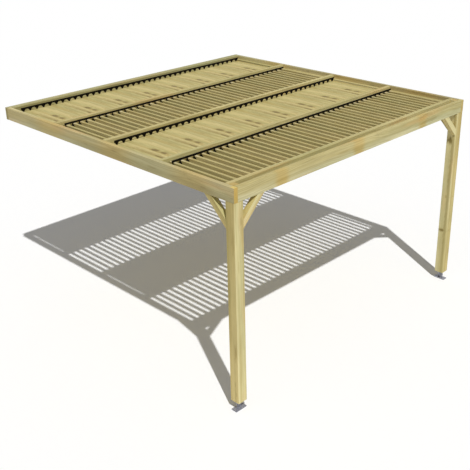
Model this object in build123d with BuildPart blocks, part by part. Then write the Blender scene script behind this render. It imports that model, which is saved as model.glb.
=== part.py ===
"""Lean-to timber pergola with a roof of turning louvres, in millimetres.

The wall beam's back face is fixed to a wall and the front corners stand on two
posts. X runs along the wall, +Y points into the wall and +Z is up. The origin is
the centre of the wall beam's back face. The roof has bays, numbered from the wall,
whose louvres lie flat in one bay and hang upright in the next.
"""
import os

from build123d import *

# Overall size, from the ground to the top of the frame.
overall_width = 3700.0
overall_depth = 3700.0
overall_height = 2300.0

# Frame timber. A second board, the rail, runs inside the outer frame.
beam_thickness = 45.0
beam_height = 140.0
rail_thickness = 45.0
side_rail_thickness = 35.0
side_rail_drop = 44.0
board_arris = 2.5

# Posts, notched on their two outer faces to take the frame.
post_width = 110.0
post_arris = 4.0
post_clearance = 100.0

# Knee braces between posts and frame, cut at 45 degrees.
brace_leg = 265.0
brace_width = 60.0
brace_thickness = 57.0
brace_recess = 3.0

# Steel feet: a base plate and a web that slides up into the post.
plate_length = 140.0
plate_width = 70.0
plate_thickness = 8.0
plate_corner = 6.0
bolt_spacing = 100.0
bolt_hole_radius = 6.0
web_width = 60.0
web_thickness = 8.0
web_insertion = 120.0
web_clearance = 0.3

# Louvres, each on two pivots, with a lever that joins it to a long control bar.
bay_count = 4
louvre_count = 40
louvre_thickness = 28.0
louvre_gap = 1.5
louvre_end_gap = 6.0
louvre_arris = 2.0
louvre_bar_gap = 3.0
pivot_size = 12.0
end_pivot_inset = 63.0
bar_height = 20.0
bar_thickness = 6.0
bar_drop = 6.0
bar_setback = 60.0
bar_end_clearance = 66.0

# Lever of a closed louvre: a plate on its point, behind the bar.
lever_thickness = 5.0
lever_toe_width = 6.0
lever_head_width = 60.0
lever_lap = 10.0

# Lever of an open louvre: a plate on its left face, with a neck up to the bar.
tab_thickness = 6.0
tab_front_reach = 24.0
tab_back_reach = 16.0
tab_neck_width = 10.0
tab_level_shares = (0.22, 0.52, 0.7)

# Turn of the louvres in each bay, from the wall: 0 is closed, -90 is open.
louvre_turns = (0.0, -90.0, 0.0, -90.0)

# Levels and lines of the frame.
frame_top = beam_height / 2
frame_bottom = -beam_height / 2
ground = frame_top - overall_height
post_bottom = ground + post_clearance
outer_x = overall_width / 2
inner_x = outer_x - beam_thickness
rail_x = inner_x - side_rail_thickness
front_y = -overall_depth
front_rail_y = front_y + post_width
bays_front_y = front_rail_y + rail_thickness
wall_rail_y = -beam_thickness
bays_back_y = wall_rail_y - rail_thickness
cross_beam_count = bay_count - 1
bay_length = (bays_back_y - bays_front_y - cross_beam_count * beam_thickness) / bay_count
bay_step = bay_length + beam_thickness
bay_backs = [bays_back_y - index * bay_step for index in range(bay_count)]

# Louvre layout between the side rails. An open louvre clears the bar above it.
last_pivot_x = rail_x - end_pivot_inset
louvre_pitch = 2 * last_pivot_x / (louvre_count - 1)
louvre_width = louvre_pitch - louvre_gap
louvre_length = bay_length - 2 * louvre_end_gap
bar_rise = louvre_width / 2 + louvre_bar_gap
pivot_z = frame_top - bar_drop - bar_height - bar_rise
left_face_xs = [
    index * louvre_pitch - last_pivot_x - louvre_thickness / 2 for index in range(louvre_count)
]

# Lever outlines, measured from the pivots' level up to the bar.
lever_outline = [
    (-lever_toe_width / 2, louvre_thickness / 2),
    (lever_toe_width / 2, louvre_thickness / 2),
    (lever_head_width / 2, bar_rise),
    (lever_head_width / 2, bar_rise + lever_lap),
    (-lever_head_width / 2, bar_rise + lever_lap),
    (-lever_head_width / 2, bar_rise),
]
tab_foot, tab_shoulder, tab_neck = [share * bar_rise for share in tab_level_shares]
tab_outline = [
    (-tab_front_reach, tab_foot),
    (tab_back_reach, tab_foot),
    (tab_back_reach, tab_shoulder),
    (tab_neck_width / 2, tab_neck),
    (tab_neck_width / 2, bar_rise),
    (-tab_neck_width / 2, bar_rise),
    (-tab_neck_width / 2, tab_neck),
    (-tab_front_reach, tab_shoulder),
]

os.makedirs("parts", exist_ok=True)


def write(piece, node):
    """Label a finished piece and write its STEP file."""
    piece.part.label = node
    export_step(piece.part, f"parts/{node}.step")


def board_along_x(start_x, end_x, back_y, thickness):
    """Make a board of the frame's height along X, with its long edges eased."""
    with BuildPart() as board:
        with BuildSketch(Plane.YZ.offset(start_x)):
            with Locations((back_y - thickness / 2, 0)):
                Rectangle(thickness, beam_height)
        extrude(amount=end_x - start_x)
        chamfer(board.edges().filter_by(Axis.X), board_arris)
    return board


# Wall beam over the full width, and the rail in front of it.
write(board_along_x(-outer_x, outer_x, 0, beam_thickness), "wall_beam")
write(board_along_x(-inner_x, inner_x, wall_rail_y, rail_thickness), "wall_rail")

# Front beam between the side beams, and the rail behind the posts.
front_beam_back_y = front_y + beam_thickness
write(board_along_x(-inner_x, inner_x, front_beam_back_y, beam_thickness), "front_beam")
write(board_along_x(-inner_x, inner_x, bays_front_y, rail_thickness), "front_rail")

# Cross beams that part the roof into bays.
for number, back_y in enumerate(bay_backs[1:], start=1):
    cross_beam = board_along_x(-inner_x, inner_x, back_y + beam_thickness, beam_thickness)
    write(cross_beam, f"cross_beam_{number}")

for side, sign in (("left", -1), ("right", 1)):
    # Side beam from the wall beam to the front face.
    with BuildPart() as side_beam:
        with BuildSketch(Plane.XZ.offset(beam_thickness)):
            with Locations((sign * (outer_x - beam_thickness / 2), 0)):
                Rectangle(beam_thickness, beam_height)
        extrude(amount=overall_depth - beam_thickness)
        chamfer(edges().filter_by(Axis.Y), board_arris)
    write(side_beam, f"{side}_side_beam")

    # Side rail, one length in each bay, lower than the frame's top.
    side_rail_height = beam_height - side_rail_drop
    with BuildPart() as side_rails:
        for back_y in bay_backs:
            with BuildSketch(Plane.XZ.offset(-back_y)):
                with Locations((sign * (inner_x - side_rail_thickness / 2), -side_rail_drop / 2)):
                    Rectangle(side_rail_thickness, side_rail_height)
            extrude(amount=bay_length)
        chamfer(edges().filter_by(Axis.Y), board_arris)
    write(side_rails, f"{side}_side_rails")

    # The left foot's plate lies along the front, the right foot's along the side.
    foot_turn = 0 if side == "left" else 90
    post_x = sign * (outer_x - post_width / 2)
    post_y = front_y + post_width / 2
    web_top = post_bottom + web_insertion

    # Post with notches for the front beam and the side beam, and a slot for the web.
    with BuildPart() as post:
        with BuildSketch(Plane.XY.offset(post_bottom)):
            with Locations((post_x, post_y)):
                Rectangle(post_width, post_width)
        extrude(amount=frame_top - post_bottom)
        chamfer(edges().filter_by(Axis.Z), post_arris)
        with BuildSketch(Plane.XY.offset(frame_bottom)):
            with Locations((post_x, front_y + beam_thickness / 2)):
                Rectangle(post_width, beam_thickness)
            with Locations((sign * (outer_x - beam_thickness / 2), post_y)):
                Rectangle(beam_thickness, post_width)
        extrude(amount=beam_height, mode=Mode.SUBTRACT)
        with BuildSketch(Plane.XY.offset(post_bottom)):
            with Locations((post_x, post_y)):
                slot_length = web_width + 2 * web_clearance
                slot_width = web_thickness + 2 * web_clearance
                Rectangle(slot_length, slot_width, rotation=foot_turn)
        extrude(amount=web_insertion, mode=Mode.SUBTRACT)
    write(post, f"{side}_post")

    # Foot: drilled base plate and upright web.
    with BuildPart() as foot:
        with BuildSketch(Plane((post_x, post_y, ground)).rotated((0, 0, foot_turn))):
            RectangleRounded(plate_length, plate_width, plate_corner)
            with GridLocations(bolt_spacing, plate_width, 2, 1):
                Circle(bolt_hole_radius, mode=Mode.SUBTRACT)
        extrude(amount=plate_thickness)
        with BuildSketch(Plane((post_x, post_y, ground + plate_thickness)).rotated((0, 0, foot_turn))):
            Rectangle(web_width, web_thickness)
        extrude(amount=web_top - ground - plate_thickness)
    write(foot, f"{side}_foot")

    # Braces set back from the post's outer faces, under the front beam and the side beam.
    inner_leg = brace_leg - brace_width * 2**0.5
    with BuildPart() as front_brace:
        with BuildSketch(Plane.XZ.offset(overall_depth - brace_recess)):
            corner_x = outer_x - post_width
            with BuildLine():
                Polyline(
                    (sign * (corner_x - brace_leg), frame_bottom),
                    (sign * (corner_x - inner_leg), frame_bottom),
                    (sign * corner_x, frame_bottom - inner_leg),
                    (sign * corner_x, frame_bottom - brace_leg),
                    close=True,
                )
            make_face()
        extrude(amount=-brace_thickness)
    write(front_brace, f"{side}_front_brace")

    with BuildPart() as side_brace:
        with BuildSketch(Plane.YZ.offset(sign * (outer_x - brace_recess))):
            with BuildLine():
                Polyline(
                    (front_rail_y + brace_leg, frame_bottom),
                    (front_rail_y + inner_leg, frame_bottom),
                    (front_rail_y, frame_bottom - inner_leg),
                    (front_rail_y, frame_bottom - brace_leg),
                    close=True,
                )
            make_face()
        extrude(amount=-sign * brace_thickness)
    write(side_brace, f"{side}_side_brace")

for number, (back_y, turn) in enumerate(zip(bay_backs, louvre_turns), start=1):
    # Louvres of one bay, turned about their middles.
    with BuildPart() as louvres:
        with BuildSketch(Plane.XZ.offset(louvre_end_gap - back_y)) as louvre_section:
            with Locations((0, pivot_z)):
                with GridLocations(louvre_pitch, louvre_pitch, louvre_count, 1):
                    Rectangle(louvre_width, louvre_thickness, rotation=turn)
            chamfer(louvre_section.vertices(), louvre_arris)
        extrude(amount=louvre_length)
    write(louvres, f"bay_{number}_louvres")

    # Pivots in the gaps between the louvres' ends and the boards that carry them.
    with BuildPart() as pivots:
        for gap_y in (back_y, back_y - bay_length + louvre_end_gap):
            with BuildSketch(Plane.XZ.offset(-gap_y)):
                with Locations((0, pivot_z)):
                    with GridLocations(louvre_pitch, louvre_pitch, louvre_count, 1):
                        Rectangle(pivot_size, pivot_size, rotation=turn)
            extrude(amount=louvre_end_gap)
    write(pivots, f"bay_{number}_pivots")

    # Levers between the louvres and the bar.
    bar_y = back_y - bar_setback
    bar_back_y = bar_y + bar_thickness / 2
    with BuildPart() as levers:
        if turn == 0:
            with BuildSketch(Plane.XZ.offset(-bar_back_y)):
                with Locations((0, pivot_z)):
                    with GridLocations(louvre_pitch, louvre_pitch, louvre_count, 1):
                        Polygon(*lever_outline, align=None)
            extrude(amount=-lever_thickness)
        else:
            with BuildSketch(*[Plane.YZ.offset(left_face_x) for left_face_x in left_face_xs]):
                with Locations((bar_y, pivot_z)):
                    Polygon(*tab_outline, align=None)
            extrude(amount=-tab_thickness)
    write(levers, f"bay_{number}_levers")

    # Control bar across the levers.
    with BuildPart() as control_bar:
        with BuildSketch(Plane.XZ.offset(-bar_back_y)):
            with Locations((0, frame_top - bar_drop - bar_height / 2)):
                Rectangle(2 * (inner_x - bar_end_clearance), bar_height)
        extrude(amount=bar_thickness)
    write(control_bar, f"bay_{number}_control_bar")
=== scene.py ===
"""Looks of a lean-to timber pergola with turning louvres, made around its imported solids.

Lengths are in metres. X runs along the wall, +Y points into the wall and +Z is up.
The timber is solid pine: each board has its own place in a made-up log, so faces,
edges and sawn ends show the same growth rings.
"""
import math
from typing import NamedTuple

import bpy
import numpy as np
from bpy.props import FloatProperty, FloatVectorProperty, PointerProperty
from mathutils import Color, Matrix, Vector


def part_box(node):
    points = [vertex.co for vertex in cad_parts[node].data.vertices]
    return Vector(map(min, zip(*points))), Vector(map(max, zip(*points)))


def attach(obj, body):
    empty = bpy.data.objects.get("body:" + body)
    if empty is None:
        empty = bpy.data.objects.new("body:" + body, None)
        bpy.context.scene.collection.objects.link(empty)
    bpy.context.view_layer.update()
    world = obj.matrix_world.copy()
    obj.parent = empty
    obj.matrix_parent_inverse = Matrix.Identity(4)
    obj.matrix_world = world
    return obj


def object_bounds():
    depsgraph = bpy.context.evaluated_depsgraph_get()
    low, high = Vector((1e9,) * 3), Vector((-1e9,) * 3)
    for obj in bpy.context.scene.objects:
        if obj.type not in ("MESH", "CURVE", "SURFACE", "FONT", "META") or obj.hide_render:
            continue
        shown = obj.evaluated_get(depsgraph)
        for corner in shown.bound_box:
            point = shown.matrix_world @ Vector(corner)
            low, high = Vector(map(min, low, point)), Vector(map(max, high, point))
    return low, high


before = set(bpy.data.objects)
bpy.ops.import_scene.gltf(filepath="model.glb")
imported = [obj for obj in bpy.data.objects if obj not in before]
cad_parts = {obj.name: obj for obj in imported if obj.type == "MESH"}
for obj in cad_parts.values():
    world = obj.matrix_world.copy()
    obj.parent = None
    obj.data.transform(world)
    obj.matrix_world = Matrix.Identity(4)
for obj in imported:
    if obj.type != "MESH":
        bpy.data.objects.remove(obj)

bl_info = {
    "name": "Louvred pergola looks",
    "version": (1, 0, 0),
    "blender": (4, 5, 0),
    "location": "3D View > Sidebar > Pergola",
    "description": "Timber, plastic and steel finishes, lever pins and a stage for a louvred pergola",
    "category": "Object",
}

CAD_BOX = [list(corner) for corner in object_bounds()]
BAYS = (1, 2, 3, 4)
OPEN_BAYS = (2, 4)
CROSS_BEAMS = (1, 2, 3)
SIDES = {"left": -1, "right": 1}  # with their direction along X
X_AXIS = Vector((1, 0, 0))
Y_AXIS = Vector((0, 1, 0))
Z_AXIS = Vector((0, 0, 1))
WHITE = (1.0, 1.0, 1.0, 1.0)


class Waves(NamedTuple):
    """Smooth noise: waves to a metre along each axis, detail, roughness and a shift of its place."""

    to_metre: tuple
    detail: float = 2.0
    roughness: float = 0.5
    shift: tuple = (0, 0, 0)


# Noises that make up the pine, along, across and through a board.
STREAKS = Waves((0.55, 17, 17))
AMBER_PATCHES = Waves((1.3, 7, 7), detail=1.0, shift=(7, 3, 1))
GREEN_PATCHES = Waves((0.7, 6, 6), detail=1.0, shift=(1, 9, 4))
CLOUDS = Waves((2.4, 13, 13), detail=3.0, roughness=0.6, shift=(5, 2, 8))
FIBRES = Waves((14, 520, 520), roughness=0.6)
CHECK_LINES = Waves((1.1, 46, 46), detail=1.0)
CHECK_PLACES = Waves((2.3, 9, 9), detail=0.0)
KNOT_WOBBLE = Waves((60, 90, 90), detail=1.0)
PITH_PATH = Waves((0.8, 1.6, 1.6), detail=1.0)
RING_RIPPLE = Waves((2.2, 14, 14))
RAGGED_RIM = Waves((16, 60, 1))
PATCH_WAVER = Waves((1.5, 9, 9))

# Where each pattern starts and where it is full.
STREAK_EDGE = (0.36, 0.66)
AMBER_EDGE = (0.58, 0.76)
GREEN_EDGE = (0.42, 0.7)
CHECK_EDGE = (0.008, 0.002)
CHECK_PLACE_EDGE = (0.58, 0.7)
KNOT_CHOICE = (0.62, 0.66)
KNOT_HEART_EDGE = (0.105, 0.07)
KNOT_HALO_EDGE = (0.36, 0.06)
DEEP_MARK_EDGE = (0.6, 1.0)
MARK_EDGE = (1.35, 0.55)
RING_DARKENS = (0.35, 0.88)
RING_ENDS = (1.0, 0.92)
SAWN_EDGE = (0.8, 0.95)
FACE_EDGE = (0.3, 0.8)
OTHER_FACE_EDGE = (0.8, 0.3)

# How much of a colour each pattern brings, and how far it moves tone, roughness and height.
GREEN_SHARE = 0.42
AMBER_SHARE = 0.5
LATEWOOD_SHARE = 0.3
HALO_SHARE = 0.8
HEART_SHARE = 0.75
CHECK_SHARE = 0.55
SAWN_SHARE = 0.6
FIBRE_SHADES = (0.88, 1.12)
CLOUD_SHADES = (0.78, 1.22)
PINE_ROUGHNESS = (0.56, 0.76)
HEART_SMOOTHING = 0.14
LATEWOOD_RELIEF = 0.5
FIBRE_RELIEF = 0.35
CHECK_RELIEF = 1.6

# Knots and growth rings: cells to a metre, and how far a knot, a ripple and the pith stray.
KNOT_CELLS = (1.6, 6.5, 0.0)
KNOT_WOBBLE_REACH = 0.05
KNOT_HALO_DEPTH = 0.5
KNOT_PUSH = 2.6
RIPPLE_REACH = 2.2
PITH_REACH = (-0.11, 0.11)
RAGGED_REACH = 0.7

# How knotty the boards are, and how far apart in the made-up logs they are cut.
FRAME_KNOTS = 0.3
LOUVRE_KNOTS = 0.35
SEED_STRIDE = (3.71, 1.93, 2.37)
FRAME_SEED_STEP = 1.37
LOUVRE_SEED_STEP = 1.71
FLAT_SEED = 40.3
OPEN_SEED = 61.9

# Resin patches, which come back along the front and side beams. Their edges are in steps.
FRONT_PATCH_START = -1.8135
SIDE_PATCH_START = -1.8455
PATCH_STEP = 1.131
FRONT_PATCH_EDGE = (0.11, 0.03)
SIDE_PATCH_EDGE = (0.06, 0.34)

# How far the edges of the front beam's patches and of its pale half waver.
WAVER_REACH = (-0.03, 0.03)

# Changes of tint on single boards, measured from a board's middle or from its end.
FRONT_LOWER_EDGE = (0.012, -0.022)
SIDE_LOWER_EDGE = (0.01, -0.03)
STAIN_START = 0.03
STAIN_REACH = 0.07
SAP_STRIP = -0.034
SAP_FADE = 0.015
# Painted light: below this place along the left post, light bounced from the floor is painted in as a
# paler tint.
BOUNCE_LIGHT_START = -0.38
BOUNCE_LIGHT_FADE = 0.3
# Painted light: from this place along an open louvre to its rear end, its top edge gets a painted
# highlight.
PAINTED_HIGHLIGHT_EDGE = (0.28, 0.35)

# Louvres of one bay, and the five kinds of board that they are cut from.
LOUVRES_PER_BAY = 40
PIVOT_SIZE = 0.012
BOARD_KINDS = 5.0

# Heads of the lever pins: shares of radius and height from rim to crown, and sides round them.
HEAD_PROFILE = ((1.0, 0.0), (1.0, 0.45), (0.88, 0.8), (0.55, 1.0))
HEAD_SIDES = 10

# Plastic and zinc.
MOULD_GRAIN = Waves((900, 900, 900))
DUST = Waves((6, 6, 6), detail=3.0)
DUST_EDGE = (0.4, 0.75)
DUST_SHARE = 0.5
DUST_LIFT = 0.02
PLASTIC_ROUGHNESS = (0.62, 0.77)
ZINC_STAINS = Waves((22, 22, 22), detail=3.0)
ZINC_STAIN_EDGE = (0.35, 0.7)
ZINC_STAIN_SHARE = 0.35
ZINC_ROUGHNESS = (0.42, 0.62)

# Camera.
SENSOR_WIDTH = 36.0
CLIP_END = 200.0

# Marks in the timber: place along and beside a board's middle, half length, half width, depth.
# Those of the flat louvres are listed by kind of board, and those of the posts by node.
LOUVRE_MARKS = {
    1: (
        (0.159, -0.036, 0.065, 0.032, 0.75),
        (-0.080, -0.030, 0.560, 0.050, 0.7),
        (-0.230, -0.034, 0.190, 0.044, 0.9),
    ),
    2: ((-0.047, -0.019, 0.104, 0.052, 1.0), (-0.178, -0.019, 0.090, 0.048, 0.95)),
    3: ((-0.222, 0.022, 0.110, 0.060, 0.35),),
}
POST_MARKS = {
    "left_post": (
        (0.600, -0.028, 0.200, 0.024, 0.5),
        (-0.544, -0.028, 0.130, 0.024, 0.65),
        (0.120, 0.030, 0.300, 0.022, 0.45),
    ),
    "right_post": (
        # A dark patch high on the post, just below its front brace.
        (0.625, 0.006, 0.075, 0.062, 0.95),
        (-0.526, 0.012, 0.036, 0.085, 0.9),
        (-0.079, -0.020, 0.030, 0.045, 0.6),
        (0.000, -0.028, 1.600, 0.024, 0.6),
    ),
}


def colour(name, description, default):
    """A colour property, written as it looks on a screen."""
    return FloatVectorProperty(
        name=name, description=description, subtype="COLOR_GAMMA", min=0, max=1, default=default
    )


def length(name, description, default):
    """A length property in metres."""
    return FloatProperty(name=name, description=description, unit="LENGTH", precision=4, default=default)


def number(name, description, default):
    """A plain number property."""
    return FloatProperty(name=name, description=description, precision=3, default=default)


def tint(name, description, default):
    """A tint property: the shares of red, green and blue that a board keeps or gains."""
    return FloatVectorProperty(name=name, description=description, precision=3, default=default)


class PineLook(bpy.types.PropertyGroup):
    """Colours and figure of the pressure-treated pine."""

    pale: colour("Pale", "Springwood between the growth rings", (0.785, 0.75, 0.54))
    straw: colour("Straw", "Broad darker streaks", (0.69, 0.645, 0.42))
    latewood: colour("Latewood", "Dark line of each growth ring", (0.55, 0.485, 0.255))
    amber: colour("Amber", "Resin-rich patches", (0.79, 0.66, 0.42))
    green: colour("Green", "Tint left by the preservative", (0.66, 0.67, 0.47))
    knot: colour("Knot", "Heart of a knot", (0.40, 0.345, 0.12))
    sawn: colour("Sawn end", "End grain", (0.66, 0.57, 0.33))
    ring: length("Ring spacing", "From one growth ring to the next", 0.0065)
    pith: length("Pith distance", "From a board's middle to the middle of its log", 0.095)
    frame_tint: tint("Frame", "Beams and rails", (1.03, 0.99, 0.97))
    # A darker tint on the wall boards and on the right beam's top face.
    wall_tint: tint("Darker boards", "Boards along the wall and the right beam's top", (0.79, 0.81, 0.84))
    sap_tint: tint("Sapwood", "Pale pair of a post's or brace's faces", (1.29, 1.28, 1.38))
    heart_tint: tint("Heartwood", "Amber pair of a post's or brace's faces", (1.12, 1.02, 0.89))
    # Painted light: a paler tint on the left post's lower end stands for light bounced from the floor.
    painted_bounce_tint: tint("Painted floor bounce", "Paler lower end of the left post", (1.17, 1.16, 1.2))
    butt_tint: tint("Left butt", "Front end of the left side beam", (1.24, 1.06, 0.7))
    pale_butt_tint: tint("Right butt", "Front end of the right side beam", (1.2, 1.16, 1.1))
    near_tint: tint("Near side", "Side beams by the posts", (0.94, 0.89, 0.86))
    far_tint: tint("Far side", "Side beams by the wall", (1.15, 1.12, 1.18))
    under_tint: tint("Lower half", "Lower half of the side beams", (0.92, 0.92, 0.93))
    resin_tint: tint("Resin", "Middles of the side beams' resin patches", (1.05, 0.95, 0.86))
    bloom_tint: tint("Bloom", "Side beams between their resin patches", (1.02, 1.02, 1.13))
    edge_tint: tint("Sap edge", "Lower half of the front beam", (1.2, 1.22, 1.48))
    patch_tint: tint("Resin patch", "Resin patches on the front beam", (1.07, 0.92, 0.74))
    flat_tint: tint("Flat louvres", "Louvres of the closed bays", (1.06, 0.99, 0.91))
    # Painted shade: the open bays' louvres are tinted darker and yellower, standing for shade and bounced
    # light in the gaps between them.
    upright_painted_shade_tint: tint("Upright louvres", "Louvres of the open bays", (0.96, 0.89, 0.82))
    # Painted light: a pale lilac highlight painted on the top edges of the open louvres by their bars.
    painted_highlight_tint: tint("Painted highlight", "Top edges of the open louvres by their bars", (1.32, 1.25, 1.55))


class FittingLook(bpy.types.PropertyGroup):
    """Colours of the control parts and the feet."""

    plastic: colour("Plastic", "Levers, bars, pivots and pins", (0.042, 0.028, 0.004))
    zinc: colour("Zinc", "Galvanised feet", (0.69, 0.69, 0.73))
    zinc_dark: colour("Dark zinc", "Darker crystals of the coating", (0.51, 0.52, 0.55))


class PinSize(bpy.types.PropertyGroup):
    """Sizes of the pins that join the levers to the control bars."""

    pin_radius: length("Pin radius", "Head of the pin of a closed louvre's lever", 0.0042)
    stud_radius: length("Stud radius", "Head of the stud over an open louvre's lever", 0.0024)
    head_height: length("Head height", "How far a head stands out of its bar", 0.0022)
    lap: length("Lap", "How far a closed louvre's lever laps its bar", 0.01)
    tab: length("Tab", "Thickness of an open louvre's lever", 0.006)


class StageLook(bpy.types.PropertyGroup):
    """Floor, light and camera."""

    floor_size: length("Floor size", "Side of the square floor", 80.0)
    floor_bounce: number("Floor bounce", "Share of light that the floor gives back", 0.75)
    sun_from: FloatVectorProperty(
        name="Sun from", description="Direction from the object to the sun",
        subtype="XYZ", default=(-0.326, -0.622, 1.0),
    )
    sun_strength: number("Sun strength", "Key light", 2.8)
    sun_angle: FloatProperty(
        name="Sun angle", description="Softness of the key light",
        subtype="ANGLE", default=math.radians(0.8),
    )
    sky_strength: number("Sky strength", "Even light from all round", 0.27)
    camera_place: FloatVectorProperty(
        name="Camera place", description="Where the camera stands",
        subtype="TRANSLATION", default=(-6.0728, -8.0482, 2.4971),
    )
    camera_turn: FloatVectorProperty(
        name="Camera turn", description="Pitch, roll and heading",
        subtype="EULER",
        default=(math.radians(-23.738), math.radians(-0.793), math.radians(-45.603)),
    )
    lens: FloatProperty(name="Lens", description="Focal length", unit="CAMERA", default=59.864)
    shift: FloatVectorProperty(
        name="Shift", description="Shift of the picture's frame", size=2, default=(-0.037, -0.0434)
    )


class PergolaLook(bpy.types.PropertyGroup):
    """All settings of the pergola's looks."""

    pine: PointerProperty(type=PineLook)
    fittings: PointerProperty(type=FittingLook)
    pins: PointerProperty(type=PinSize)
    stage: PointerProperty(type=StageLook)


def linear(screen):
    """Screen colour as the light that it stands for, with an alpha of 1."""
    return (*Color(screen).from_srgb_to_scene_linear(), 1.0)


def grey(share):
    """Even share of white, with an alpha of 1."""
    return (share, share, share, 1.0)


def gain(tint_property):
    """A tint as the colour that a tone is multiplied by."""
    return (*tint_property, 1.0)


class Recipe:
    """Adds nodes to one tree and joins them, so that a pattern reads as a formula."""

    def __init__(self, tree):
        self.tree = tree

    def node(self, kind, inputs=None, **settings):
        """Add a node, with its settings, and feed each named input a value or another node's output."""
        made = self.tree.nodes.new(kind)
        for key, value in settings.items():
            setattr(made, key, value)
        for key, value in (inputs or {}).items():
            if isinstance(value, bpy.types.NodeSocket):
                self.tree.links.new(value, made.inputs[key])
            else:
                made.inputs[key].default_value = value
        return made

    def place(self):
        """Object coordinates."""
        return self.node("ShaderNodeTexCoord").outputs["Object"]

    def maths(self, operation, *values):
        """One operation on numbers."""
        return self.node("ShaderNodeMath", dict(enumerate(values)), operation=operation).outputs[0]

    def vector(self, operation, *values):
        """One operation on vectors."""
        made = self.node("ShaderNodeVectorMath", dict(enumerate(values)), operation=operation)
        return made.outputs["Value" if operation in ("DOT_PRODUCT", "LENGTH") else "Vector"]

    def parts(self, vector):
        """The three numbers of a vector."""
        return self.node("ShaderNodeSeparateXYZ", {0: vector}).outputs

    def joined(self, x, y, z):
        """A vector from three numbers."""
        return self.node("ShaderNodeCombineXYZ", {0: x, 1: y, 2: z}).outputs[0]

    def noise(self, place, waves):
        """Smooth noise from 0 to 1 at a place, shifted and multiplied by the waves to a metre."""
        if any(waves.shift):
            place = self.vector("ADD", place, waves.shift)
        scaled = self.vector("MULTIPLY", place, waves.to_metre)
        inputs = {"Vector": scaled, "Scale": 1.0, "Detail": waves.detail, "Roughness": waves.roughness}
        return self.node("ShaderNodeTexNoise", inputs).outputs[0]

    def ease(self, value, low, high):
        """0 below low, 1 above high and a smooth step between; it falls where high is below low."""
        if high < low:
            return self.maths("SUBTRACT", 1.0, self.ease(value, high, low))
        inputs = {"Value": value, "From Min": low, "From Max": high}
        return self.node("ShaderNodeMapRange", inputs, interpolation_type="SMOOTHSTEP").outputs[0]

    def between(self, value, low, high):
        """Low where a value is 0, high where it is 1 and straight between them."""
        return self.maths("MULTIPLY_ADD", value, high - low, low)

    def mix(self, share, a, b, blend="MIX"):
        """Colour a with a share of colour b."""
        made = self.node("ShaderNodeMix", {0: share, 6: a, 7: b}, data_type="RGBA", blend_type=blend)
        return made.outputs[2]

    def tinted(self, tone, tint_colour, share=1.0):
        """A tone times a tint, as far as the share goes."""
        return self.mix(share, tone, tint_colour, "MULTIPLY")


def empty_recipe(owner):
    """Recipe of a material or world, cleared of the nodes that it came with."""
    owner.use_nodes = True
    owner.node_tree.nodes.clear()
    return Recipe(owner.node_tree)


def new_material(name, build):
    """Material whose surface is the shader that a function builds."""
    material = bpy.data.materials.new(name)
    make = empty_recipe(material)
    make.node("ShaderNodeOutputMaterial", {"Surface": build(make)})
    return material


def add_object(name, data):
    """Object with its data, put into the scene."""
    added = bpy.data.objects.new(name, data)
    bpy.context.scene.collection.objects.link(added)
    return added


def dress(node, material):
    """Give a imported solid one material."""
    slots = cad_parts[node].data.materials
    slots.clear()
    slots.append(material)


def middle(node):
    """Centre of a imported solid's box."""
    low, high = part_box(node)
    return (low + high) / 2


def pine_figure(pine):
    """Node group of treated pine. Along, across and through a board are its x, y and z.

    The tone is a row of colours, each laid over the last by its pattern's share, times
    the fibres' and clouds' shade and the board's tint.
    """
    group = bpy.data.node_groups.new("treated_pine", "ShaderNodeTree")
    for name, kind in (
        ("Place", "Vector"), ("Seed", "Float"), ("End", "Float"),
        ("Knots", "Float"), ("Mark", "Float"), ("Tint", "Color"),
    ):
        group.interface.new_socket(name, in_out="INPUT", socket_type=f"NodeSocket{kind}")
    for name, kind in (("Colour", "Color"), ("Roughness", "Float"), ("Height", "Float")):
        group.interface.new_socket(name, in_out="OUTPUT", socket_type=f"NodeSocket{kind}")
    make = Recipe(group)
    given = make.node("NodeGroupInput").outputs
    own = own_place(make, given["Place"], given["Seed"])
    heart, halo = pine_knots(make, own, given["Knots"], given["Mark"])
    late = latewood_lines(make, own, given["Place"], halo, pine)
    check = fine_checks(make, own)
    fibre = make.noise(own, FIBRES)

    streak = make.ease(make.noise(own, STREAKS), *STREAK_EDGE)
    tone = make.mix(streak, linear(pine.pale), linear(pine.straw))
    for pattern, share, laid_over in (
        (make.ease(make.noise(own, GREEN_PATCHES), *GREEN_EDGE), GREEN_SHARE, pine.green),
        (make.ease(make.noise(own, AMBER_PATCHES), *AMBER_EDGE), AMBER_SHARE, pine.amber),
        (late, LATEWOOD_SHARE, pine.latewood),
        (halo, HALO_SHARE, pine.latewood),
        (heart, HEART_SHARE, pine.knot),
        (check, CHECK_SHARE, pine.knot),
        (given["End"], SAWN_SHARE, pine.sawn),
    ):
        tone = make.mix(make.maths("MULTIPLY", pattern, share), tone, linear(laid_over))
    fibre_shade = make.between(fibre, *FIBRE_SHADES)
    cloud_shade = make.between(make.noise(own, CLOUDS), *CLOUD_SHADES)
    shade = make.maths("MULTIPLY", fibre_shade, cloud_shade)
    tone = make.tinted(tone, make.joined(shade, shade, shade))
    tone = make.tinted(tone, given["Tint"])

    smoothing = make.maths("MULTIPLY", heart, HEART_SMOOTHING)
    rough = make.maths("SUBTRACT", make.between(fibre, *PINE_ROUGHNESS), smoothing)
    fibre_height = make.maths("MULTIPLY", fibre, FIBRE_RELIEF)
    height = make.maths("MULTIPLY_ADD", late, LATEWOOD_RELIEF, fibre_height)
    height = make.maths("SUBTRACT", height, make.maths("MULTIPLY", check, CHECK_RELIEF))
    make.node("NodeGroupOutput", {"Colour": tone, "Roughness": rough, "Height": height})
    return group


def own_place(make, place, seed):
    """Place in the made-up logs: every board reads the noises from its own part of space."""
    far = make.vector("SCALE", SEED_STRIDE)
    make.tree.links.new(seed, far.node.inputs["Scale"])
    return make.vector("ADD", place, far)


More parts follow.
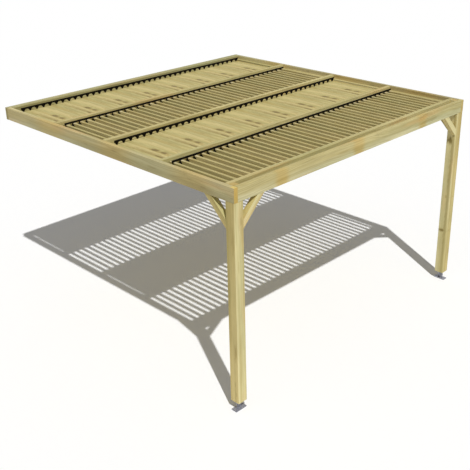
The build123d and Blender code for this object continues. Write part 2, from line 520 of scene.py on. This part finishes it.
def pine_knots(make, own, knots, mark):
    """Hearts and halos of the knots and marks.

    Knots are the middles of a few cells, drawn out along the grain. A mark is a halo, with
    a heart where it is deep.
    """
    cells = make.node(
        "ShaderNodeTexVoronoi",
        {"Vector": make.vector("MULTIPLY", own, KNOT_CELLS), "Scale": 1.0, "Randomness": 0.85},
        voronoi_dimensions="2D",
    ).outputs
    chosen = make.maths("MULTIPLY", make.ease(make.parts(cells["Color"])[0], *KNOT_CHOICE), knots)
    wobble = make.maths("MULTIPLY", make.noise(own, KNOT_WOBBLE), KNOT_WOBBLE_REACH)
    reach = make.maths("ADD", cells["Distance"], wobble)
    heart = make.maths("MULTIPLY", make.ease(reach, *KNOT_HEART_EDGE), chosen)
    halo = make.maths("MULTIPLY", make.ease(reach, *KNOT_HALO_EDGE), chosen)
    heart = make.maths("MAXIMUM", heart, make.ease(mark, *DEEP_MARK_EDGE))
    halo = make.maths("MAXIMUM", make.maths("MULTIPLY", halo, KNOT_HALO_DEPTH), mark)
    return heart, halo


def latewood_lines(make, own, place, halo, pine):
    """Dark line of each growth ring.

    A ring's number is the distance from a wandering pith over the ring spacing, with a
    ripple, and knots push the rings aside. The line darkens over the last part of a ring.
    """
    _, across, through = make.parts(place)
    pith = make.between(make.noise(own, PITH_PATH), *PITH_REACH)
    from_pith = make.joined(
        make.maths("SUBTRACT", across, pith), make.maths("ADD", through, pine.pith), 0.0
    )
    ring_number = make.maths("DIVIDE", make.vector("LENGTH", from_pith), pine.ring)
    ripple = make.maths("MULTIPLY", make.noise(own, RING_RIPPLE), RIPPLE_REACH)
    pushed = make.maths("MULTIPLY", halo, KNOT_PUSH)
    strayed = make.maths("ADD", ring_number, make.maths("ADD", ripple, pushed))
    phase = make.maths("FRACT", strayed)
    return make.maths("MULTIPLY", make.ease(phase, *RING_DARKENS), make.ease(phase, *RING_ENDS))


def fine_checks(make, own):
    """Fine cracks: lines where one noise crosses its middle, in places where another is high."""
    crossing = make.maths("SUBTRACT", make.noise(own, CHECK_LINES), 0.5)
    line = make.ease(make.maths("ABSOLUTE", crossing), *CHECK_EDGE)
    return make.maths("MULTIPLY", line, make.ease(make.noise(own, CHECK_PLACES), *CHECK_PLACE_EDGE))


def pine_material(name, figure, grain, lay_out):
    """Pine of one board or bay, whose layout gives the figure's place, seed, knots, marks and tint."""

    def build(make):
        given = lay_out(make, make.place())
        given["End"] = make.ease(facing(make, grain), *SAWN_EDGE)
        timber = make.node("ShaderNodeGroup", given, node_tree=figure).outputs
        relief = {"Height": timber["Height"], "Strength": 0.5, "Distance": 0.0006}
        sockets = {
            "Base Color": timber["Colour"],
            "Roughness": timber["Roughness"],
            "Normal": make.node("ShaderNodeBump", relief).outputs[0],
            "Specular IOR Level": 0.3,
        }
        return make.node("ShaderNodeBsdfPrincipled", sockets).outputs[0]

    return new_material(name, build)


def facing(make, axis):
    """How far a surface faces along an axis, forwards or backwards: the size of normal times axis."""
    normal = make.node("ShaderNodeNewGeometry").outputs["Normal"]
    return make.maths("ABSOLUTE", make.vector("DOT_PRODUCT", normal, tuple(axis)))


def deepest_mark(make, along, beside, marks):
    """The deepest of a few marks, each an ellipse with a ragged rim that fades out."""
    deepest = 0.0
    if not marks:
        return deepest
    ragged = make.noise(make.joined(along, beside, 0.0), RAGGED_RIM)
    for at_along, at_beside, half_length, half_width, depth in marks:
        apart = make.joined(
            make.maths("DIVIDE", make.maths("SUBTRACT", along, at_along), half_length),
            make.maths("DIVIDE", make.maths("SUBTRACT", beside, at_beside), half_width),
            0.0,
        )
        reach = make.maths("MULTIPLY_ADD", ragged, RAGGED_REACH, make.vector("LENGTH", apart))
        mark = make.maths("MULTIPLY", make.ease(reach, *MARK_EDGE), depth)
        deepest = make.maths("MAXIMUM", deepest, mark)
    return deepest


def board_layout(centre, axes, seed, tint_of, marks):
    """Layout of one board: its place is measured from its centre along, across and through it.

    Its marks run straight across it, as branches do.
    """
    turn = Matrix(axes).transposed().to_euler()

    def lay_out(make, place):
        inputs = {"Vector": place, "Location": centre, "Rotation": turn}
        local = make.node("ShaderNodeMapping", inputs, vector_type="TEXTURE").outputs[0]
        along, _, through = make.parts(local)
        return {
            "Place": local,
            "Seed": seed,
            "Knots": FRAME_KNOTS,
            "Mark": deepest_mark(make, along, through, marks),
            "Tint": tint_of(make, local),
        }

    return lay_out


def even_tint(pine_tint):
    """One tint all over a board."""
    return lambda make, local: gain(pine_tint)


def post_tint(pine, sap_axis, sap_strip=None, painted_bounce_start=None):
    """Sapwood on the two faces across an axis, and heartwood on the two beside them.

    A strip of sapwood may run down a post's left edge, to a place across it, and a
    post may get painted floor bounce light: a paler tint below a place along it.
    """

    def tint_of(make, local):
        along, across, _ = make.parts(local)
        sap = make.ease(facing(make, sap_axis), *FACE_EDGE)
        if sap_strip is not None:
            strip = make.ease(across, sap_strip + SAP_FADE, sap_strip)
            sap = make.maths("MAXIMUM", sap, strip)
        tone = make.mix(sap, gain(pine.heart_tint), gain(pine.sap_tint))
        if painted_bounce_start is None:
            return tone
        # Painted light: paler below this place, standing for light bounced from the floor.
        below = make.ease(along, painted_bounce_start, painted_bounce_start - BOUNCE_LIGHT_FADE)
        return make.tinted(tone, gain(pine.painted_bounce_tint), below)

    return tint_of


def from_patch(make, along, start):
    """How far a place is from the middle of the nearest resin patch, in steps from patch to patch."""
    steps = make.maths("DIVIDE", make.maths("SUBTRACT", along, start), PATCH_STEP)
    return make.maths("ABSOLUTE", make.maths("SUBTRACT", make.maths("FRACT", steps), 0.5))


def side_beam_tint(pine, half_length, butt, darkens_top):
    """Paler towards the wall, with resin patches that come back along the beam.

    A stain on the sawn front end has crept over the top, and the top may be tinted darker behind it.
    """

    def tint_of(make, local):
        along, across, _ = make.parts(local)
        wallward = make.ease(along, -half_length, half_length)
        tone = make.mix(wallward, gain(pine.near_tint), gain(pine.far_tint))
        off_patch = make.ease(from_patch(make, along, SIDE_PATCH_START), *SIDE_PATCH_EDGE)
        tone = make.tinted(tone, make.mix(off_patch, gain(pine.resin_tint), gain(pine.bloom_tint)))
        tone = make.tinted(tone, gain(pine.under_tint), make.ease(across, *SIDE_LOWER_EDGE))
        if darkens_top:
            upward = make.ease(facing(make, Z_AXIS), *FACE_EDGE)
            tone = make.tinted(tone, gain(pine.wall_tint), upward)
        stain = make.ease(along, STAIN_REACH - half_length, STAIN_START - half_length)
        off_sides = make.ease(facing(make, X_AXIS), *OTHER_FACE_EDGE)
        return make.mix(make.maths("MULTIPLY", stain, off_sides), tone, gain(butt))

    return tint_of


def front_beam_tint(pine):
    """A pale lower half, and resin patches that come back along the beam."""

    def tint_of(make, local):
        along, across, _ = make.parts(local)
        waver = make.between(make.noise(local, PATCH_WAVER), *WAVER_REACH)
        lower = make.ease(make.maths("ADD", across, waver), *FRONT_LOWER_EDGE)
        off = make.maths("ADD", from_patch(make, along, FRONT_PATCH_START), waver)
        tone = make.mix(lower, gain(pine.frame_tint), gain(pine.edge_tint))
        return make.mix(make.ease(off, *FRONT_PATCH_EDGE), tone, gain(pine.patch_tint))

    return tint_of


def frame_of(grain, through):
    """Right-handed axes along, across and through a board."""
    return grain, through.cross(grain), through


def frame_boards():
    """Axes along, across and through each board of the frame, by node."""
    along_x = (X_AXIS, Z_AXIS, -Y_AXIS)
    along_y = (Y_AXIS, Z_AXIS, X_AXIS)
    upright = (Z_AXIS, X_AXIS, Y_AXIS)
    boards = dict.fromkeys(("wall_beam", "wall_rail", "front_beam", "front_rail"), along_x)
    boards |= {f"cross_beam_{beam}": along_x for beam in CROSS_BEAMS}
    for side, sign in SIDES.items():
        boards[f"{side}_side_beam"] = along_y
        boards[f"{side}_side_rails"] = along_y
        boards[f"{side}_post"] = upright
        boards[f"{side}_front_brace"] = frame_of((Z_AXIS - X_AXIS * sign).normalized(), Y_AXIS)
        boards[f"{side}_side_brace"] = frame_of((Z_AXIS + Y_AXIS).normalized(), X_AXIS)
    return boards


def frame_tints(pine, boards):
    """Tints of the boards that have one of their own, by node."""
    tints = dict.fromkeys(("wall_beam", "wall_rail"), even_tint(pine.wall_tint))
    tints["front_beam"] = front_beam_tint(pine)
    tints["left_post"] = post_tint(pine, Y_AXIS, painted_bounce_start=BOUNCE_LIGHT_START)
    tints["right_post"] = post_tint(pine, X_AXIS, sap_strip=SAP_STRIP)
    for side, butt in (("left", pine.butt_tint), ("right", pine.pale_butt_tint)):
        low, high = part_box(f"{side}_side_beam")
        half_length = (high.y - low.y) / 2
        tints[f"{side}_side_beam"] = side_beam_tint(pine, half_length, butt, side == "right")
        tints[f"{side}_front_brace"] = post_tint(pine, Y_AXIS)
        tints[f"{side}_side_brace"] = post_tint(pine, boards[f"{side}_side_brace"][1])
    return tints


class PERGOLA_OT_frame_timber(bpy.types.Operator):
    """Gives each beam, rail, post and brace its own board of treated pine"""

    bl_idname = "pergola.frame_timber"
    bl_label = "Frame timber"

    def execute(self, context):
        pine = context.scene.pergola_look.pine
        figure = pine_figure(pine)
        boards = frame_boards()
        tints = frame_tints(pine, boards)
        for seed, (name, axes) in enumerate(boards.items(), start=1):
            tint_of = tints.get(name, even_tint(pine.frame_tint))
            marks = POST_MARKS.get(name, ())
            layout = board_layout(middle(name), axes, seed * FRAME_SEED_STEP, tint_of, marks)
            dress(name, pine_material(f"pine_{name}", figure, axes[0], layout))
        return {"FINISHED"}


def louvre_pitch(pivots):
    """From one louvre to the next: the pivots' reach, less one pivot, over the steps between them."""
    low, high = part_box(pivots)
    return (high.x - low.x - PIVOT_SIZE) / (LOUVRES_PER_BAY - 1)


def louvre_marks(make, of_five, along, across):
    """The marks of whichever of the five boards a louvre is."""
    total = 0.0
    for board, marks in LOUVRE_MARKS.items():
        here = make.maths("COMPARE", of_five, float(board), 0.5)
        total = make.maths("MULTIPLY_ADD", here, deepest_mark(make, along, across, marks), total)
    return total


def louvre_layout(node, is_open, pine):
    """Layout of one bay of louvres.

    A louvre's number is the whole part of its distance from the bay's left side over
    the pitch, and its place is measured from its own middle. Five boards repeat. The
    marks lie on the faces that are on top when the louvres lie flat.
    """
    centre = middle(node)
    pitch = louvre_pitch(node.replace("louvres", "pivots"))
    left = centre.x - pitch * LOUVRES_PER_BAY / 2
    first_seed = OPEN_SEED if is_open else FLAT_SEED

    def lay_out(make, place):
        x, y, z = make.parts(place)
        steps = make.maths("DIVIDE", make.maths("SUBTRACT", x, left), pitch)
        from_middle = make.maths("SUBTRACT", make.maths("FRACT", steps), 0.5)
        own_x = make.maths("MULTIPLY", from_middle, pitch)
        own_y = make.maths("SUBTRACT", y, centre.y)
        own_z = make.maths("SUBTRACT", z, centre.z)
        of_five = make.maths("FLOORED_MODULO", make.maths("FLOOR", steps), BOARD_KINDS)
        seed = make.maths("MULTIPLY_ADD", of_five, LOUVRE_SEED_STEP, first_seed)
        given = {"Seed": seed, "Knots": LOUVRE_KNOTS}
        if is_open:
            upright = make.joined(own_y, make.maths("MULTIPLY", own_z, -1.0), own_x)
            # Painted light: the upward faces near the bars get a pale lilac painted highlight.
            on_top = make.ease(facing(make, Z_AXIS), *FACE_EDGE)
            rear = make.maths("MULTIPLY", make.ease(own_y, *PAINTED_HIGHLIGHT_EDGE), on_top)
            # Painted shade: the open louvres' darker tint stands for shade in the gaps between them.
            tone = make.mix(rear, gain(pine.upright_painted_shade_tint), gain(pine.painted_highlight_tint))
            return given | {"Place": upright, "Mark": 0.0, "Tint": tone}
        mark = louvre_marks(make, of_five, own_y, own_x)
        flat = make.joined(own_y, own_x, own_z)
        return given | {"Place": flat, "Mark": mark, "Tint": gain(pine.flat_tint)}

    return lay_out


class PERGOLA_OT_louvre_timber(bpy.types.Operator):
    """Gives the louvres of each bay their timber, board by board"""

    bl_idname = "pergola.louvre_timber"
    bl_label = "Louvre timber"

    def execute(self, context):
        pine = context.scene.pergola_look.pine
        figure = bpy.data.node_groups["treated_pine"]
        for bay in BAYS:
            name = f"bay_{bay}_louvres"
            layout = louvre_layout(name, bay in OPEN_BAYS, pine)
            dress(name, pine_material(f"pine_{name}", figure, Y_AXIS, layout))
        return {"FINISHED"}


def black_plastic(fittings):
    """Moulded plastic: a fine grain, and a little dust in its tone and roughness."""

    def build(make):
        place = make.place()
        dust = make.ease(make.noise(place, DUST), *DUST_EDGE)
        dust_share = make.maths("MULTIPLY", dust, DUST_SHARE)
        clean = linear(fittings.plastic)
        dusty = linear([part + DUST_LIFT for part in fittings.plastic])
        relief = {"Height": make.noise(place, MOULD_GRAIN), "Strength": 0.35, "Distance": 0.0002}
        sockets = {
            "Base Color": make.mix(dust_share, clean, dusty),
            "Roughness": make.between(dust, *PLASTIC_ROUGHNESS),
            "Normal": make.node("ShaderNodeBump", relief).outputs[0],
            "Specular IOR Level": 0.08,
        }
        return make.node("ShaderNodeBsdfPrincipled", sockets).outputs[0]

    return new_material("black_plastic", build)


def galvanised_steel(fittings):
    """Hot-dipped zinc: flat crystals, each with its own tone, and darker stains."""

    def build(make):
        place = make.place()
        crystals = make.node("ShaderNodeTexVoronoi", {"Vector": place, "Scale": 95.0}).outputs
        tone = make.parts(crystals["Color"])[0]
        stain = make.ease(make.noise(place, ZINC_STAINS), *ZINC_STAIN_EDGE)
        dark = linear(fittings.zinc_dark)
        mixed = make.mix(tone, linear(fittings.zinc), dark)
        relief = {"Height": stain, "Strength": 0.2, "Distance": 0.0004}
        sockets = {
            "Base Color": make.mix(make.maths("MULTIPLY", stain, ZINC_STAIN_SHARE), mixed, dark),
            "Metallic": 0.45,
            "Roughness": make.between(tone, *ZINC_ROUGHNESS),
            "Normal": make.node("ShaderNodeBump", relief).outputs[0],
        }
        return make.node("ShaderNodeBsdfPrincipled", sockets).outputs[0]

    return new_material("galvanised_steel", build)


def turned_heads(name, places, axis, radius, height):
    """Round heads at many places: a profile of radius and height, turned about an axis.

    A point at an angle is (r cos angle, r sin angle, h), with r and h from the profile.
    """
    profile = np.array(HEAD_PROFILE) * (radius, height)
    radii, heights = np.split(profile, 2, axis=1)
    angles = np.linspace(0, 2 * np.pi, HEAD_SIDES, endpoint=False)
    rings = np.broadcast_arrays(radii * np.cos(angles), radii * np.sin(angles), heights)
    head = np.stack(rings, axis=-1).reshape(-1, 3)
    turn = np.array(axis.to_track_quat("Z", "Y").to_matrix())
    points = (places[:, None] + head @ turn.T).reshape(-1, 3)

    side = np.arange(HEAD_SIDES)
    ring_start = np.arange(len(profile))[:, None] * HEAD_SIDES
    here = ring_start[:-1] + side
    after = ring_start[:-1] + (side + 1) % HEAD_SIDES
    quads = np.stack([here, after, after + HEAD_SIDES, here + HEAD_SIDES], axis=-1)
    caps = np.stack([side[::-1], ring_start[-1] + side])
    head_start = np.arange(len(places))[:, None, None] * len(head)
    faces = (quads.reshape(1, -1, 4) + head_start).reshape(-1, 4).tolist()
    faces += (caps[None] + head_start).reshape(-1, HEAD_SIDES).tolist()

    mesh = bpy.data.meshes.new(name)
    mesh.from_pydata(points, [], faces)
    return add_object(name, mesh)


def lever_pins(bay, sizes):
    """Pins on the face of a closed bay's bar, or studs on top of an open bay's bar, one to each lever."""
    bar_low, bar_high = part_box(f"bay_{bay}_control_bar")
    pivots = f"bay_{bay}_pivots"
    if bay in OPEN_BAYS:
        first_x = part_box(f"bay_{bay}_levers")[0].x + sizes.tab / 2
        first = (first_x, (bar_low.y + bar_high.y) / 2, bar_high.z)
        axis = Z_AXIS
        radius = sizes.stud_radius
    else:
        first_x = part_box(pivots)[0].x + PIVOT_SIZE / 2
        first = (first_x, bar_low.y, bar_low.z + sizes.lap / 2)
        axis = -Y_AXIS
        radius = sizes.pin_radius
    steps = np.arange(LOUVRES_PER_BAY)[:, None] * (louvre_pitch(pivots), 0, 0)
    return turned_heads(f"bay_{bay}_pins", first + steps, axis, radius, sizes.head_height)


class PERGOLA_OT_control_parts(bpy.types.Operator):
    """Gives levers, bars and pivots their plastic, and pins each lever to its bar"""

    bl_idname = "pergola.control_parts"
    bl_label = "Control parts"

    def execute(self, context):
        look = context.scene.pergola_look
        plastic = black_plastic(look.fittings)
        for bay in BAYS:
            for part in ("levers", "control_bar", "pivots"):
                dress(f"bay_{bay}_{part}", plastic)
            pins = lever_pins(bay, look.pins)
            pins.data.materials.append(plastic)
            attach(pins, "root")
        return {"FINISHED"}


class PERGOLA_OT_steel_feet(bpy.types.Operator):
    """Gives the feet their galvanised steel"""

    bl_idname = "pergola.steel_feet"
    bl_label = "Steel feet"

    def execute(self, context):
        steel = galvanised_steel(context.scene.pergola_look.fittings)
        for side in SIDES:
            dress(f"{side}_foot", steel)
        return {"FINISHED"}


def seen_rays(make):
    """1 for rays that come from the camera, straight or by a mirror or through glass."""
    rays = make.node("ShaderNodeLightPath").outputs
    mirrored = make.maths("MAXIMUM", rays["Is Glossy Ray"], rays["Is Transmission Ray"])
    return make.maths("MAXIMUM", rays["Is Camera Ray"], mirrored)


def make_floor(stage):
    """Square at ground level, white to the camera and a little darker in the light that it gives back."""

    def build(make):
        tone = make.mix(seen_rays(make), grey(stage.floor_bounce), WHITE)
        return make.node("ShaderNodeBsdfDiffuse", {"Color": tone}).outputs[0]

    half = stage.floor_size / 2
    ground = CAD_BOX[0][2]
    corners = [(-half, -half, ground), (half, -half, ground), (half, half, ground), (-half, half, ground)]
    mesh = bpy.data.meshes.new("floor")
    mesh.from_pydata(corners, [], [(0, 1, 2, 3)])
    mesh.materials.append(new_material("floor_white", build))
    floor = add_object("floor", mesh)


def make_light(stage):
    """A sun lamp for the key and an even sky, which the camera sees as white."""
    lamp = bpy.data.lights.new("sun", "SUN")
    lamp.energy = stage.sun_strength
    lamp.angle = stage.sun_angle
    sun = add_object("sun", lamp)
    sun.rotation_euler = Vector(stage.sun_from).to_track_quat("Z", "Y").to_euler()
    world = bpy.data.worlds.new("studio")
    bpy.context.scene.world = world
    make = empty_recipe(world)
    tone = make.mix(seen_rays(make), grey(stage.sky_strength), WHITE)
    background = make.node("ShaderNodeBackground", {"Color": tone, "Strength": 1.0})
    make.node("ShaderNodeOutputWorld", {"Surface": background.outputs[0]})


def make_camera(stage):
    """Camera turned by its heading, tilted down by its pitch and rolled about its own axis."""
    data = bpy.data.cameras.new("camera")
    data.sensor_width = SENSOR_WIDTH
    data.lens = stage.lens
    data.shift_x, data.shift_y = stage.shift
    data.clip_end = CLIP_END
    pitch, roll, heading = stage.camera_turn
    level = Matrix.Rotation(heading, 4, "Z") @ Matrix.Rotation(math.pi / 2, 4, "X")
    tilt = Matrix.Rotation(pitch, 4, "X") @ Matrix.Rotation(roll, 4, "Z")
    camera = add_object("camera", data)
    camera.matrix_world = Matrix.Translation(stage.camera_place) @ level @ tilt
    bpy.context.scene.camera = camera


class PERGOLA_OT_stage(bpy.types.Operator):
    """Makes the floor, the light and the camera"""

    bl_idname = "pergola.stage"
    bl_label = "Stage"

    def execute(self, context):
        stage = context.scene.pergola_look.stage
        make_floor(stage)
        make_light(stage)
        make_camera(stage)
        context.scene.view_settings.view_transform = "Standard"
        return {"FINISHED"}


OPERATORS = (
    PERGOLA_OT_frame_timber,
    PERGOLA_OT_louvre_timber,
    PERGOLA_OT_control_parts,
    PERGOLA_OT_steel_feet,
    PERGOLA_OT_stage,
)


class PERGOLA_PT_looks(bpy.types.Panel):
    """Lists the pergola's pieces"""

    bl_label = "Pergola"
    bl_idname = "PERGOLA_PT_looks"
    bl_space_type = "VIEW_3D"
    bl_region_type = "UI"
    bl_category = "Pergola"

    def draw(self, context):
        for operator in OPERATORS:
            self.layout.operator(operator.bl_idname)


CLASSES = (
    PineLook,
    FittingLook,
    PinSize,
    StageLook,
    PergolaLook,
    *OPERATORS,
    PERGOLA_PT_looks,
)


def register():
    """Register the classes and give the scene its settings."""
    for cls in CLASSES:
        bpy.utils.register_class(cls)
    bpy.types.Scene.pergola_look = PointerProperty(type=PergolaLook)


def unregister():
    """Take the settings and the classes away again."""
    del bpy.types.Scene.pergola_look
    for cls in reversed(CLASSES):
        bpy.utils.unregister_class(cls)


def main():
    """Make every piece in order."""
    register()
    bpy.ops.pergola.frame_timber()
    bpy.ops.pergola.louvre_timber()
    bpy.ops.pergola.control_parts()
    bpy.ops.pergola.steel_feet()
    bpy.ops.pergola.stage()


if __name__ == "__main__":
    main()
